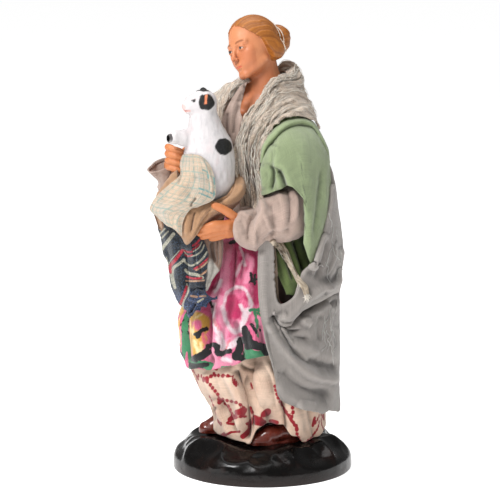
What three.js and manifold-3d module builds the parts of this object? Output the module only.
// Dressed crib figure: a standing woman who carries a cat in a blanket, on a moulded base.
// Millimetres, +Z up. The origin is the middle of the base's underside.
// The figure faces -Y, and its left side is +X.
import * as THREE from 'three';
import { mergeVertices } from 'three/addons/utils/BufferGeometryUtils.js';
import Module from 'manifold-3d';

const wasm = await Module();
wasm.setup();

// Driving sizes
const FIGURE_HEIGHT = 150; // soles to crown
const BASE_DIAMETER = 64;
const BASE_HEIGHT = 12; // table to the soles
const SHOE_LENGTH = 22;
const SHOE_WIDTH = 8.4;
const SHOE_SINK = 0.8; // depth of the soles in the moulded ground
const HEAD_HEIGHT = 22.5; // chin to crown
const NECK_DIAMETER = 10.6;
const BUN_DIAMETER = 10;
const THREAD_DIAMETER = 0.9; // thread round the bun
const CLOTH_THICKNESS = 1.2; // thin cloth that hangs free
const BLUE_CLOTH_THICKNESS = 4; // folded bunch of cloth
const TIE_WIDTH = 5.4;
const FINGER_DIAMETER = 2.7;
const CLEARANCE = 0.35; // gap kept between two pieces

// The pose is written in 150ths of the figure's height, and heights count from the soles.
const POSE_UNITS = 150;
const unit = FIGURE_HEIGHT / POSE_UNITS;

const UP = new THREE.Vector3(0, 0, 1);
const ACROSS = new THREE.Vector3(1, 0, 0);
const { clamp, degToRad, lerp, smoothstep } = THREE.MathUtils;

function place(x, y, h) {
  return new THREE.Vector3(x * unit, y * unit, BASE_HEIGHT + h * unit);
}

// Point at an angle round the figure, from the front towards its left side
function around(degrees, radius, h) {
  const angle = degToRad(degrees);
  return place(Math.sin(angle) * radius, -Math.cos(angle) * radius, h);
}

// Smooth curve through a list of [position, value] pairs
function curveThrough(pairs) {
  const slope = (i) => {
    const before = pairs[Math.max(i - 1, 0)];
    const after = pairs[Math.min(i + 1, pairs.length - 1)];
    return (after[1] - before[1]) / (after[0] - before[0]);
  };
  return (position) => {
    const x = clamp(position, pairs[0][0], pairs.at(-1)[0]);
    const next = pairs.findIndex((pair) => pair[0] >= x);
    const i = Math.max(next - 1, 0);
    const [x0, y0] = pairs[i];
    const [x1, y1] = pairs[i + 1];
    const span = x1 - x0;
    const t = (x - x0) / span;
    const rise = y1 - y0 - (slope(i) * (1 - t) + slope(i + 1) * t) * span;
    return y0 + (slope(i) * (1 - t) + slope(i + 1) * t) * span * t + rise * t * t * (3 - 2 * t);
  };
}

function deform(geometry, move) {
  const positions = geometry.attributes.position;
  const point = new THREE.Vector3();
  for (let i = 0; i < positions.count; i += 1) {
    point.fromBufferAttribute(positions, i);
    const moved = move(point);
    positions.setXYZ(i, moved.x, moved.y, moved.z);
  }
  return geometry;
}

function solidFrom(geometry) {
  geometry.deleteAttribute('normal');
  geometry.deleteAttribute('uv');
  const merged = mergeVertices(geometry, 1e-4);
  return new wasm.Manifold(new wasm.Mesh({
    numProp: 3,
    vertProperties: new Float32Array(merged.attributes.position.array),
    triVerts: new Uint32Array(merged.index.array),
  }));
}

function join(solids) {
  return solids.reduce((whole, solid) => whole.add(solid));
}

function cut(solid, tools) {
  return tools.reduce((rest, tool) => rest.subtract(tool), solid);
}

// Round-ended tube through rows of [x, y, h, radius]. A flat share under 1 thins it along "thin".
function tube(rows, { sides = 10, rings = 8, blunt = 4, flat = 1, thin = UP, grow = 0 } = {}) {
  const spine = new THREE.CatmullRomCurve3(rows.map(([x, y, h]) => place(x, y, h)), false, 'centripetal');
  const radius = curveThrough(rows.map((row, i) => [i / (rows.length - 1), row[3] * unit]));
  return solidFrom(deform(new THREE.SphereGeometry(1, sides, rings), (point) => {
    const t = (1 - clamp(point.y, -1, 1)) / 2;
    const tangent = spine.getTangent(t);
    const ring = Math.hypot(point.x, point.z) || 1;
    const size = radius(t) * (1 - Math.abs(point.y) ** blunt) ** (1 / blunt);
    const narrow = thin.clone().addScaledVector(tangent, -thin.dot(tangent)).normalize();
    const wide = tangent.clone().cross(narrow);
    const cap = ring > 1e-6 && Math.abs(point.y) < 1 - 1e-6 ? grow : 0;
    return spine.getPoint(t)
      .addScaledVector(tangent, -(point.y ** 5) * grow)
      .addScaledVector(narrow, (point.x / ring) * (size * flat + cap))
      .addScaledVector(wide, (point.z / ring) * (size + cap));
  }));
}

// Solid between a bottom and a top level. shape(angle, h) gives the radius, axis(h) the middle.
function loft(bottom, top, axis, shape, { sides = 40, levels = 8, grow = 0 } = {}) {
  return solidFrom(deform(new THREE.CylinderGeometry(1, 1, 1, sides, levels), (point) => {
    const angle = Math.atan2(point.x, point.z);
    const share = Math.hypot(point.x, point.z);
    const level = point.y + 0.5;
    const h = lerp(bottom(angle, share), top(angle, share), level);
    const [x, y] = axis(h);
    const radius = shape(angle, h) * unit + grow;
    return place(x, y, h)
      .add(new THREE.Vector3(Math.sin(angle), -Math.cos(angle), 0).multiplyScalar(share * radius))
      .addScaledVector(UP, grow * (2 * level - 1));
  }));
}

// Sheet of cloth with a thickness over a surface(u, v)
function sheet(surface, { columns, rows, thickness = CLOTH_THICKNESS, grow = 0 }) {
  const step = 0.01;
  return solidFrom(deform(new THREE.BoxGeometry(1, 1, 1, columns, rows, 1), (point) => {
    const u = point.x + 0.5;
    const v = point.y + 0.5;
    const along = surface(Math.min(u + step, 1), v).sub(surface(Math.max(u - step, 0), v)).normalize();
    const down = surface(u, Math.min(v + step, 1)).sub(surface(u, Math.max(v - step, 0))).normalize();
    const normal = along.clone().cross(down).normalize();
    return surface(u, v)
      .addScaledVector(normal, point.z * (thickness + 2 * grow))
      .addScaledVector(along, Math.abs(point.x) === 0.5 ? Math.sign(point.x) * grow : 0)
      .addScaledVector(down, Math.abs(point.y) === 0.5 ? Math.sign(point.y) * grow : 0);
  }));
}

// Surface through rows of [x, y, h] points, all rows of one length
function surfaceThrough(rows) {
  const across = rows.map((row) => new THREE.CatmullRomCurve3(row.map((point) => place(...point))));
  return (u, v) => new THREE.CatmullRomCurve3(across.map((curve) => curve.getPoint(u))).getPoint(v);
}

// Distance from a point to simple round forms, and their smooth union
function ellipsoid(point, centre, radii) {
  const from = point.clone().sub(centre);
  const scaled = from.clone().divide(radii).length();
  const steep = from.clone().divide(radii).divide(radii).length() || 1;
  return scaled * (scaled - 1) / steep;
}

function blend(a, b, softness) {
  const h = Math.max(softness - Math.abs(a - b), 0) / softness;
  return Math.min(a, b) - h * h * softness / 4;
}

// Closed form round a centre, where distance(point) is below zero inside
function blob(distance, centre, reach, { sides = 24, rings = 16, grow = 0, toWorld = (p) => p } = {}) {
  return solidFrom(deform(new THREE.SphereGeometry(1, sides, rings), (point) => {
    const direction = new THREE.Vector3(point.x, -point.z, point.y).normalize();
    let radius = reach;
    for (let i = 0; i < 40; i += 1) {
      radius -= Math.max(distance(centre.clone().addScaledVector(direction, radius)) * 0.7, 0);
    }
    return toWorld(centre.clone().addScaledVector(direction, radius + grow));
  }));
}

function largest(solid) {
  const bodies = solid.decompose();
  return bodies.reduce((best, body) => (body.volume() > best.volume() ? body : best));
}

const figure = new THREE.Group();

function addPiece(name, solid, color, roughness = 0.9) {
  const { vertProperties, triVerts } = largest(solid).getMesh();
  const geometry = new THREE.BufferGeometry();
  geometry.setAttribute('position', new THREE.BufferAttribute(vertProperties, 3));
  geometry.setIndex(new THREE.BufferAttribute(triVerts, 1));
  geometry.computeVertexNormals();
  const mesh = new THREE.Mesh(geometry, new THREE.MeshStandardMaterial({ color, roughness, metalness: 0 }));
  mesh.name = name;
  figure.add(mesh);
}

// Base: a moulded mound of rounded rocks on a flat round foot
function base() {
  const radius = BASE_DIAMETER / 2;
  const profile = [[0, 0], [0.985, 0], [1, 0.2], [0.98, 0.45], [0.89, 0.76], [0.76, 0.98], [0, 1]];
  const outline = profile.map(([across, up]) => new THREE.Vector2(across * radius, up * BASE_HEIGHT));
  const mound = new THREE.LatheGeometry(outline, 24);
  return solidFrom(deform(mound, (point) => {
    const angle = Math.atan2(point.x, point.z);
    const share = Math.hypot(point.x, point.z) / radius;
    const rise = smoothstep(point.y, BASE_HEIGHT * 0.1, BASE_HEIGHT * 0.6) * smoothstep(share, 0.3, 0.7);
    const lump = Math.sin(7 * angle) * 0.6 + Math.sin(11 * angle + 2) * 0.5;
    const swell = 1 + 0.02 * lump * rise;
    return new THREE.Vector3(point.x * swell, -point.z * swell, point.y + lump * rise * 0.5);
  }));
}

// Shoes
const SHOE_LEFT = { toe: [8.2, -15], turn: -22 };
const SHOE_RIGHT = { toe: [-17.3, -15], turn: -25 };

function shoe({ toe: [x, y], turn }, grow = 0) {
  const length = SHOE_LENGTH / unit;
  const half = SHOE_WIDTH / 2 / unit;
  const back = [-Math.sin(degToRad(turn)), Math.cos(degToRad(turn))];
  const sole = -SHOE_SINK / unit;
  const along = [[0.1, 0.62, 0.4], [0.35, 1, 0.62], [0.65, 0.82, 0.9], [0.92, 0.8, 0.95]];
  const rows = along.map(([share, width, height]) => [
    x + back[0] * length * share,
    y + back[1] * length * share,
    sole + half * height,
    half * width,
  ]);
  const body = tube(rows, { blunt: 3, sides: 10, rings: 7, flat: 0.95, grow });
  return cut(body, [block([x, y, sole - 10 - grow], [60, 60, 20])]);
}

function block([x, y, h], [width, depth, height], turn = new THREE.Euler()) {
  const geometry = new THREE.BoxGeometry(width * unit, depth * unit, height * unit);
  return solidFrom(deform(geometry, (point) => place(x, y, h).add(point.clone().applyEuler(turn))));
}

// Upright wedge between two angles round the figure
function wedge(from, to) {
  const reach = FIGURE_HEIGHT;
  const corner = (degrees) => {
    const angle = degToRad(degrees);
    return new THREE.Vector2(Math.sin(angle) * reach, -Math.cos(angle) * reach);
  };
  const outline = new THREE.Shape([new THREE.Vector2(0, 0), corner(from), corner(to)]);
  return solidFrom(new THREE.ExtrudeGeometry(outline, { depth: FIGURE_HEIGHT * 2, bevelEnabled: false }));
}

// Underskirt: two full lobes to the ground with a deep fold between them
const legFold = degToRad(43);
const underskirtRadius = curveThrough([[0, 19.6], [8, 20], [18, 22.4], [27, 23.4], [40, 20], [60, 14]]);
const underskirtAxis = (h) => {
  const lean = smoothstep(h, 4, 26);
  return [1.8 - 2.8 * lean, 1.8 - 3.6 * lean];
};

function underskirt(grow = 0) {
  const shape = (angle, h) => {
    const fold = Math.exp(-(((angle - legFold) / 0.16) ** 2));
    const pleats = 0.8 * Math.sin(13 * angle + 0.4 * Math.sin(3 * angle)) * smoothstep(40 - h, 0, 30);
    return underskirtRadius(h) + pleats - 5 * fold * smoothstep(60 - h, 0, 20);
  };
  const hem = (angle) => {
    const overLeft = Math.exp(-(((angle - degToRad(32)) / 0.36) ** 2));
    const overRight = Math.exp(-(((angle + degToRad(47)) / 0.25) ** 2));
    return 1 + 6.5 * overLeft + 5 * overRight;
  };
  const bottom = (angle, share) => lerp(3, hem(angle), share);
  return loft(bottom, () => 58, underskirtAxis, shape, { sides: 32, levels: 3, grow });
}

// Skirt: gathered at the waist, wide at the knee
const skirtRadius = curveThrough([
  [24, 26], [36, 26.5], [41, 27.6], [52, 23], [60, 20.5], [68, 17.5], [77, 13.5], [80, 13],
]);
const skirtAxis = (h) => {
  const drop = smoothstep(76 - h, 0, 32);
  return [-1.5 * drop, -2.5 * drop];
};

function skirt(grow = 0) {
  const shape = (angle, h) => {
    const folds = Math.sin(11 * angle + 0.8 * Math.sin(2 * angle)) + 0.5 * Math.sin(19 * angle + 1);
    return skirtRadius(h) + folds * 1.1 * smoothstep(74 - h, 0, 40);
  };
  const hem = (angle) => 28.4 + 3.6 * Math.sin(angle - 0.1) + 0.6 * Math.sin(6 * angle);
  return loft(hem, () => 79, skirtAxis, shape, { sides: 32, levels: 3, grow });
}

// Blouse: torso and two full sleeves
const torsoWidth = curveThrough([
  [70, 12.5], [76, 12.5], [90, 13.5], [103, 15], [112, 16], [117, 13], [120, 9],
]);
const torsoDepth = curveThrough([
  [70, 10.5], [76, 10.5], [90, 11], [103, 11.5], [112, 10.5], [117, 9], [120, 7],
]);
const SLEEVE_LEFT = [
  [9, 0, 107, 6], [16.5, -1, 103, 7.2], [21.5, -3, 94, 7.6], [22, -5, 85.5, 8], [19.6, -11, 81.5, 8.8],
  [16.6, -17.5, 80.5, 8], [13.6, -22.5, 80, 5.6],
];
const SLEEVE_RIGHT = [
  [-9, 0, 108, 6], [-15.5, -1, 105, 7.2], [-21, -4, 96, 7.6], [-25, -10, 87, 8], [-22.5, -19, 85, 6.8],
  [-20.5, -26.5, 88.5, 6], [-19.5, -31.5, 93.5, 7],
];

function torso(extra, grow) {
  const shape = (angle, h) => {
    const a = torsoWidth(h) + extra;
    const b = torsoDepth(h) + extra;
    return (a * b) / Math.hypot(b * Math.sin(angle), a * Math.cos(angle));
  };
  return loft(() => 70, () => 120, () => [0, 0], shape, { sides: 18, levels: 3, grow });
}

function blouse(grow = 0) {
  return join([
    torso(0, grow),
    tube(SLEEVE_LEFT, { sides: 10, rings: 8, blunt: 8, thin: ACROSS, grow }),
    tube(SLEEVE_RIGHT, { sides: 10, rings: 8, blunt: 8, thin: ACROSS, grow }),
  ]);
}

// Open mouth of the flared right cuff
const CUFF_HOLLOW = [[-21.5, -22, 86.5, 2.5], [-20, -28.5, 90.5, 4], [-18.6, -34, 96, 6.6]];

function cuffHollow() {
  return tube(CUFF_HOLLOW, { sides: 8, rings: 5, blunt: 8 });
}

// Jacket: back and sides, two short bell sleeves, a hanging point and a skirt at the hips
const JACKET_LEFT = [[8, 1, 107, 7.2], [15.5, 0, 104, 9], [20.5, -2, 97, 9.8], [22, -3.5, 88.5, 10]];
const JACKET_RIGHT = [[-8, 1, 107.5, 7.2], [-15, 0, 105.5, 8.8], [-20, -3, 98.5, 9.4], [-23.5, -6, 91, 9.4]];
const JACKET_POINT = [
  [[24.7, -12.1, 96.1], [29, -9, 96.9], [30, -1, 97.6], [19.6, 13.9, 97.4]],
  [[27.7, -11.2, 91.4], [31, -8.6, 91.5], [31.2, -1.6, 91.4], [20.7, 12.2, 89.6]],
  [[29.8, -9.8, 84.6], [31.4, -8.1, 84.6], [31, -2.6, 83.9], [22.7, 8.6, 82.4]],
  [[29.3, -8.9, 74.7], [30.3, -7.9, 74.7], [30.1, -5.2, 75], [26, 0.6, 74.5]],
  [[28.1, -7.3, 67.2], [28.4, -7, 66.6], [28.2, -6.6, 66.5], [28, -5.7, 67.1]],
];

// The jacket is open at the front, and wider at the hips.
const JACKET_FRONT = wedge(-52, 38);
const HIPS_FRONT = wedge(-62, 48);

function jacket(grow = 0) {
  const hips = (angle, h) => skirtRadius(h) + 3.4 + 0.4 * Math.sin(9 * angle);
  const hem = (angle) => 60 - 6 * Math.cos(angle - 0.9);
  const skirtPart = loft(hem, () => 80, skirtAxis, hips, { sides: 20, levels: 2, grow });
  const shell = join([cut(torso(1.9, grow), [JACKET_FRONT]), cut(skirtPart, [HIPS_FRONT])]);
  return join([
    shell,
    tube(JACKET_LEFT, { sides: 10, rings: 5, blunt: 10, thin: ACROSS, grow }),
    tube(JACKET_RIGHT, { sides: 10, rings: 5, blunt: 10, thin: ACROSS, grow }),
    sheet(surfaceThrough(JACKET_POINT), { columns: 4, rows: 5, grow }),
  ]);
}

// Shawl: rolled collar at the neck, slope over the shoulders, tails at the front
const SHAWL = [
  // Inner edge round the neck
  [
    [-7.2, -10.8, 112], [-6.4, -6.4, 123], [-9, 1, 128], [-7, 7.5, 131], [0, 10, 133],
    [6.5, 8, 132], [8.4, 1, 129], [5.6, -5.6, 124], [3.6, -12, 108], [7, -15.2, 86],
  ],
  // Top of the collar's roll
  [
    [-8.6, -12.6, 111.5], [-8.6, -8.6, 121], [-12, 0, 125.5], [-10, 10.5, 128.5], [0, 14.4, 130.5],
    [8.8, 10.8, 129.4], [11.6, 0, 126.5], [7, -9, 121], [5.6, -14, 107], [9.5, -16.4, 86],
  ],
  // Slope over the shoulders
  [
    [-10.6, -12.6, 109], [-12, -9.4, 115], [-18, 0, 119.5], [-14.5, 11, 120], [0, 16, 119],
    [11.4, 12.4, 119.4], [15, 1.5, 118.6], [9.4, -10.6, 114], [8.4, -15, 104], [12, -16.6, 86],
  ],
  // Lower edge
  [
    [-13.4, -12.4, 104], [-17.5, -9, 108], [-25, -2, 108], [-18.5, 12, 108], [0, 16, 100],
    [13.8, 13.6, 112], [17.4, 3.4, 113], [12.4, -10.6, 108], [11.4, -14.6, 101], [14.8, -15, 86.5],
  ],
];

function shawl(grow = 0) {
  return sheet(surfaceThrough(SHAWL), { columns: 20, rows: 4, grow });
}

// Mantle: from the shoulders round the back and the left hip, tucked at the front
const mantleHem = curveThrough([
  [38, 26], [48, 19], [63, 16.5], [74, 13], [91, 11.5], [135, 7.7], [200, 9], [250, 12],
]);
const mantleTop = curveThrough([
  [38, 76], [46, 73], [52, 66], [56, 52.6], [62, 52], [68, 56], [74, 60], [84, 66], [95, 74], [110, 83],
  [135, 97], [160, 104], [200, 105], [235, 97], [250, 90],
]);
const MANTLE_LEVELS = [8, 28, 50, 68, 88, 104];
const MANTLE_RADII = [
  [[38, 25], [65, 25.5], [90, 25.5], [135, 26.2], [180, 26.4], [225, 26], [250, 25]],
  [[38, 28.4], [65, 28.6], [90, 28], [135, 26.4], [180, 27.8], [225, 28], [250, 26.6]],
  [[38, 28], [65, 28.2], [90, 27.6], [135, 26.2], [180, 26], [225, 26.4], [250, 26.4]],
  [[38, 24.5], [65, 27.5], [90, 28.4], [135, 27], [180, 23.5], [225, 24], [250, 24.5]],
  [[38, 23], [65, 27], [90, 28], [135, 24], [180, 19], [225, 22.5], [250, 25.5]],
  [[38, 23], [65, 26], [90, 26], [135, 21.4], [180, 18.6], [225, 21], [250, 24.5]],
].map(curveThrough);
const MANTLE_FROM = 38;
const MANTLE_TO = 250;

function mantlePoint(u, v) {
  const degrees = lerp(MANTLE_FROM, MANTLE_TO, u);
  const h = lerp(mantleHem(degrees), mantleTop(degrees), v);
  const radius = curveThrough(MANTLE_LEVELS.map((level, i) => [level, MANTLE_RADII[i](degrees)]))(h);
  const folds = 0.8 * Math.sin(degToRad(degrees) * 9 + h * 0.03) * smoothstep(90 - h, 0, 60);
  return around(degrees, radius + 0.8 + folds, h);
}

function mantle(grow = 0) {
  return sheet(mantlePoint, { columns: 22, rows: 7, grow });
}

// Small cloths at the front
const WAIST_TIE = [
  [17.5, -16.5, 74.5], [22.2, -13.4, 71], [25.5, -11, 66.8],
  [28, -9, 61.5], [29, -8, 57.5], [29.6, -7.6, 54.5],
];
const FRONT_DRAPE = [
  [[3.6, -31.8, 75], [6.4, -31.2, 75.4], [7.7, -27.6, 74.3]],
  [[4.3, -31.1, 66.6], [6.2, -30.2, 65.7], [6.2, -27.9, 64.3]],
  [[2.8, -31.1, 57], [3.1, -30.9, 56.2], [3.5, -30.4, 57.3]],
];
const BLUE_CLOTH = [
  [[-13, -34.5, 77.3], [-4.5, -38, 75.5], [2.4, -33, 74.7]],
  [[-11.1, -35.5, 66.7], [-1.4, -37.5, 68.2], [4.8, -31.5, 66.6]],
  [[-9.6, -34.5, 57.2], [-0.4, -36.7, 58.7], [3.8, -31.6, 58.9]],
  [[-8.2, -33.6, 50.8], [0.6, -36.2, 52.4], [4, -31.5, 53.9]],
  [[-5, -33.3, 47.3], [-0.2, -35.5, 47.6], [6, -31, 53]],
];
const PLAID = [
  [[-6.1, -33.9, 103], [1.2, -34.6, 104.6], [4.2, -33, 102.2]],
  [[-6.9, -34.3, 98.4], [3.6, -36.4, 99.9], [8, -33, 98]],
  [[-11, -34.6, 93], [3.3, -38.1, 94], [9, -32.6, 93.2]],
  [[-18.3, -34.6, 86.8], [1.4, -39.1, 88.4], [8.4, -33, 89]],
  [[-19.4, -35.8, 83.2], [-3.7, -40.2, 84], [5.6, -36, 84.4]],
  [[-6, -37, 76.8], [-2.6, -38.6, 75.6], [0.4, -38, 76]],
];

function waistTie() {
  const spine = new THREE.CatmullRomCurve3(WAIST_TIE.map((point) => place(...point)));
  const across = new THREE.Vector3(0.85, -0.52, 0);
  const width = (v) => TIE_WIDTH * lerp(1, 0.6, v);
  const surface = (u, v) => spine.getPoint(v).addScaledVector(across, (u - 0.5) * width(v));
  return sheet(surface, { columns: 2, rows: 8 });
}

// Tan blanket: a sling under the cat, with its gathered end hanging below
const TAN_BOWL = [[0.6, -26.5, 72.5, 9.5], [0.8, -26.3, 82, 12], [0.8, -26, 92, 12.2], [0.8, -26, 108, 12]];
const TAN_TAIL = [[1.8, -29, 80, 6.4], [2, -33, 78, 5.4], [1.6, -36.2, 73.6, 1.8]];
const TAN_RIM_TILT = new THREE.Euler(degToRad(12), degToRad(-12), 0);

function tanTail(grow) {
  return tube(TAN_TAIL, { sides: 8, rings: 5, grow });
}

function blanketTan(grow = 0) {
  const bowl = tube(TAN_BOWL, { sides: 12, rings: 7, blunt: 2.6, thin: ACROSS, grow });
  const open = block([0, -26, 104.5], [60, 60, 30], TAN_RIM_TILT);
  return join([cut(bowl, [open]), tanTail(grow)]);
}

function frontDrape() {
  return sheet(surfaceThrough(FRONT_DRAPE), { columns: 3, rows: 5 });
}

function blueCloth(grow = 0) {
  return sheet(surfaceThrough(BLUE_CLOTH), { columns: 4, rows: 6, thickness: BLUE_CLOTH_THICKNESS, grow });
}

function plaid(grow = 0) {
  return sheet(surfaceThrough(PLAID), { columns: 5, rows: 7, grow });
}

// Cat: upright in the blanket, one forepaw out over the hand
const CAT_HEAD = [-2.3, -27.8, 120.5];
const CAT_TURN = degToRad(-45);
const CAT_BODY = [
  [2.2, -24, 76, 7], [2, -24, 84, 8.6], [1.4, -25, 94, 9], [0.3, -25.7, 102, 8.8],
  [-0.9, -26.6, 110, 6.2], [-2, -27.4, 119, 5],
];
const CAT_PAW = [[-2, -27.5, 106.5, 3.2], [-7, -31.5, 108.2, 2.7], [-12.4, -35, 107.6, 2.1]];

// Row of a tube, placed from the middle of the cat's head, with the muzzle towards -Y
function onCatHead(x, y, z, radius) {
  const turned = new THREE.Vector3(x, y, z).applyAxisAngle(UP, CAT_TURN);
  return [CAT_HEAD[0] + turned.x, CAT_HEAD[1] + turned.y, CAT_HEAD[2] + turned.z, radius];
}

function cat(grow = 0) {
  const skull = [onCatHead(0, 3.4, 0.8, 4.9), onCatHead(0, -1, 0, 4.9), onCatHead(0, -6.4, -0.8, 2.5)];
  const ears = [1, -1].map((side) => {
    const ear = [onCatHead(side * 3, 0.2, 2.8, 1.9), onCatHead(side * 4, 0.4, 5.6, 1)];
    return tube(ear, { sides: 6, rings: 4, blunt: 2, thin: ACROSS, grow });
  });
  return join([
    tube(CAT_BODY, { sides: 12, rings: 7, blunt: 3.4, thin: ACROSS, grow }),
    tube(CAT_PAW, { sides: 8, rings: 6, grow }),
    tube(skull, { sides: 10, rings: 6, blunt: 2.4, grow }),
    ...ears,
  ]);
}

// Hands
const fingerRadius = FINGER_DIAMETER / 2 / unit;

function finger(points, scale, grow) {
  const taper = (i) => lerp(1, 0.8, i / (points.length - 1));
  const rows = points.map((point, i) => [...point, fingerRadius * scale * taper(i)]);
  return tube(rows, { sides: 6, rings: 5, grow });
}

const PALM_LEFT = [[15.5, -19, 80, 3.6], [12.6, -23.4, 80, 3.6], [10.6, -28.6, 79.2, 4]];
const PALM_LEFT_THIN = new THREE.Vector3(0.3, -0.2, 1);
const PALM_RIGHT = [[-20, -30, 90, 3], [-16, -31, 95.6, 3.4], [-13.8, -31.2, 104, 3.6]];
const PALM_RIGHT_THIN = new THREE.Vector3(0.8, 0.6, 0.3);

function handLeft(grow = 0) {
  const palm = tube(PALM_LEFT, { sides: 8, rings: 5, flat: 0.62, thin: PALM_LEFT_THIN, grow });
  return join([
    palm,
    finger([[13.2, -24.4, 81], [12.3, -28.4, 84], [10.9, -31.4, 86], [9.4, -33, 87]], 1.15, grow),
    finger([[11.5, -28.6, 80.4], [9.8, -32.6, 80.6], [7.9, -34.6, 79.9], [6.2, -35.6, 79]], 1, grow),
    finger([[11.2, -28.4, 79.2], [9, -32.7, 78.9], [7, -34.8, 78], [5, -35.8, 77.2]], 1, grow),
    finger([[10.5, -27.8, 77.8], [7.9, -31.9, 77.1], [6.2, -33.6, 76.4], [4.8, -34.2, 75.8]], 0.96, grow),
    finger([[9.8, -26.8, 76.6], [7.9, -30, 75.6], [6.4, -31.6, 75.1]], 0.9, grow),
  ]);
}

function handRight(grow = 0) {
  const palm = tube(PALM_RIGHT, { sides: 8, rings: 5, flat: 0.7, thin: PALM_RIGHT_THIN, grow });
  const grip = (h, scale) => {
    const points = [[-14.6, -32, h - 0.4], [-11.6, -35.2, h + 0.2], [-8, -36, h + 0.6], [-5.8, -34.4, h]];
    return finger(points, scale, grow);
  };
  return join([
    palm,
    grip(104.4, 1),
    grip(101.9, 1),
    grip(99.4, 0.98),
    grip(97, 0.9),
    finger([[-14.6, -29.6, 99], [-11, -27.6, 103], [-7.6, -28.6, 104.4]], 1.1, grow),
  ]);
}

// Head: face, hair gathered in a bun, neck and the top of the chest, carved in one
const HEAD_MIDDLE = [-2.4, -2.4, 138.6];
const HEAD_TURN = degToRad(-5);
const HEAD_NOD = degToRad(10);
const HEAD_LEAN = degToRad(-20); // towards the right shoulder
const headFrame = new THREE.Matrix4()
  .makeTranslation(place(...HEAD_MIDDLE))
  .multiply(new THREE.Matrix4().makeRotationZ(HEAD_TURN))
  .multiply(new THREE.Matrix4().makeRotationY(HEAD_LEAN))
  .multiply(new THREE.Matrix4().makeRotationX(HEAD_NOD))
  .multiply(new THREE.Matrix4().makeScale(HEAD_HEIGHT, HEAD_HEIGHT, HEAD_HEIGHT));

// Rows of [x, y, h, share of the neck's radius] and of [x, y, h, radius]
const NECK = [[0, 0.2, 108, 1.5], [0.4, 0.8, 118, 1.15], [0.2, 1.2, 125, 1], [-1.6, 0, 134, 1]];
const CHEST = [[-8, -0.5, 111, 6.4], [0, -1.8, 111.5, 9], [8, -0.5, 111, 6.4]];

const vec = (x, y, z) => new THREE.Vector3(x, y, z);
const mirrored = (point) => vec(Math.abs(point.x), point.y, point.z);

// Distances below are in head heights, with the face towards -Y.
function faceDistance(point) {
  const half = mirrored(point);
  let d = ellipsoid(point, vec(0, 0.03, 0.11), vec(0.32, 0.4, 0.36));
  d = blend(d, ellipsoid(point, vec(0, -0.13, -0.2), vec(0.235, 0.245, 0.28)), 0.1);
  d = blend(d, ellipsoid(half, vec(0.14, -0.27, -0.1), vec(0.09, 0.08, 0.11)), 0.08);
  d = blend(d, ellipsoid(point, vec(0, -0.33, -0.43), vec(0.08, 0.06, 0.06)), 0.08);
  d = blend(d, ellipsoid(point, vec(0, -0.39, -0.05), vec(0.04, 0.05, 0.13)), 0.05);
  d = blend(d, ellipsoid(point, vec(0, -0.44, -0.12), vec(0.055, 0.06, 0.05)), 0.03);
  d = blend(d, ellipsoid(point, vec(0, -0.37, -0.265), vec(0.085, 0.04, 0.035)), 0.03);
  const socket = ellipsoid(half, vec(0.14, -0.42, 0.0), vec(0.09, 0.07, 0.05));
  return -blend(-d, socket, 0.05);
}

function hairDistance(point) {
  const half = mirrored(point);
  const strands = 0.012 * Math.sin(26 * (half.z - 0.5 * point.y)) * smoothstep(half.x, 0.02, 0.12);
  let d = ellipsoid(point, vec(0, 0.05, 0.12), vec(0.355, 0.43, 0.385));
  d = blend(d, ellipsoid(half, vec(0.27, -0.02, 0.02), vec(0.1, 0.2, 0.2)), 0.06);
  const parting = 0.02 * Math.exp(-((point.x / 0.03) ** 2)) * smoothstep(-point.y, 0, 0.2);
  const face = ellipsoid(point, vec(0, -0.52, -0.1), vec(0.27, 0.42, 0.43));
  return -blend(-(d + strands + parting), face, 0.03);
}

function bun(grow) {
  const middle = vec(0, 0.54, 0.02).applyMatrix4(headFrame);
  return solidFrom(deform(new THREE.SphereGeometry(BUN_DIAMETER / 2 + grow, 10, 7), (point) => {
    const turn = Math.atan2(point.y, point.x);
    const coil = 1 + 0.03 * Math.sin(5 * turn + 1.2 * point.z);
    return point.clone().multiplyScalar(coil).add(middle);
  }));
}

function head(grow = 0) {
  const neck = NECK.map(([x, y, h, share]) => [x, y, h, (share * NECK_DIAMETER) / 2 / unit]);
  const fit = { grow: grow / HEAD_HEIGHT, toWorld: (point) => point.clone().applyMatrix4(headFrame) };
  return join([
    blob(faceDistance, vec(0, 0, 0), 0.8, { sides: 22, rings: 15, ...fit }),
    blob(hairDistance, vec(0, 0.08, 0.06), 0.8, { sides: 18, rings: 12, ...fit }),
    bun(grow),
    tube(neck, { sides: 12, rings: 6, blunt: 6, thin: ACROSS, grow }),
    tube(CHEST, { sides: 12, rings: 6, blunt: 2.2, grow }),
  ]);
}

const THREAD_TILT = new THREE.Euler(Math.PI / 2 + HEAD_NOD, 0, HEAD_TURN, 'ZYX');

function hairTie() {
  const ring = BUN_DIAMETER / 2 + CLEARANCE + THREAD_DIAMETER / 2;
  const torus = new THREE.TorusGeometry(ring, THREAD_DIAMETER / 2, 5, 14);
  const middle = vec(0, 0.5, 0.02).applyMatrix4(headFrame);
  return solidFrom(deform(torus, (point) => point.clone().applyEuler(THREAD_TILT).add(middle)));
}

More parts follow.
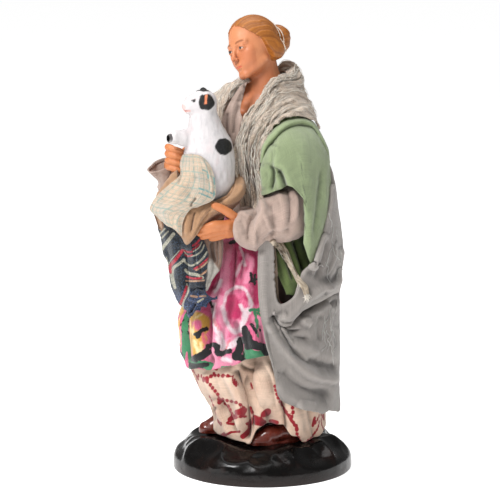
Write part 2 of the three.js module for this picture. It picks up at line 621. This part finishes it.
// Pieces, from the inside out: each outer piece is cut clear of what it covers
const gap = CLEARANCE;
const skin = 0xd68a5c;
const shoes = [shoe(SHOE_LEFT, gap), shoe(SHOE_RIGHT, gap)];
const dress = [underskirt(gap), skirt(gap)];
const hands = [handLeft(gap), handRight(gap)];
const headRoom = head(gap);
const catRoom = cat(gap);
const blouseRoom = blouse(gap);
const jacketRoom = jacket(gap);
const shawlRoom = shawl(gap);
const tanRoom = blanketTan(gap);
const plaidRoom = plaid(gap);
const blueRoom = blueCloth(gap);

addPiece('base', cut(base(), [...shoes, dress[0]]), 0x1a1210, 0.2);
addPiece('shoe_left', shoe(SHOE_LEFT), 0x6a2c1c, 0.35);
addPiece('shoe_right', shoe(SHOE_RIGHT), 0x6a2c1c, 0.35);
addPiece('underskirt', cut(underskirt(), shoes), 0xe6d3c0);
addPiece('skirt', cut(skirt(), [dress[0], blouseRoom]), 0xc75a80);
addPiece('blouse', cut(blouse(), [headRoom, ...hands, cuffHollow(), catRoom]), 0xc9afa2);
addPiece('jacket', cut(jacket(), [blouseRoom, headRoom, dress[1]]), 0x8fa570);
addPiece('shawl', cut(shawl(), [jacketRoom, blouseRoom, headRoom, catRoom, tanRoom]), 0xb9ab98);
addPiece('mantle', cut(mantle(), [...dress, jacketRoom, blouseRoom, shawlRoom]), 0xa39f99);
addPiece('waist_tie', cut(waistTie(), [dress[1], jacketRoom, blouseRoom, mantle(gap)]), 0xcfc0a8);
addPiece('front_drape', cut(frontDrape(), [dress[1], blueRoom, tanRoom, ...hands]), 0x8c7a68);
addPiece('blue_cloth', cut(blueCloth(), [dress[1], tanRoom, plaidRoom, ...hands]), 0x4a5f78);
addPiece('blanket_tan', cut(blanketTan(), [catRoom, ...hands, plaidRoom, blouseRoom]), 0xb8936e);
addPiece('blanket_plaid', cut(plaid(), [catRoom, ...hands, tanTail(gap)]), 0xd3c8ac);
addPiece('cat', cat(), 0xe0dcd8, 0.5);
addPiece('hand_left', cut(handLeft(), [catRoom]), skin, 0.5);
addPiece('hand_right', cut(handRight(), [catRoom]), skin, 0.5);
addPiece('head', head(), skin, 0.5);
addPiece('hair_tie', cut(hairTie(), [headRoom]), 0xd9cbb0);

export default figure;
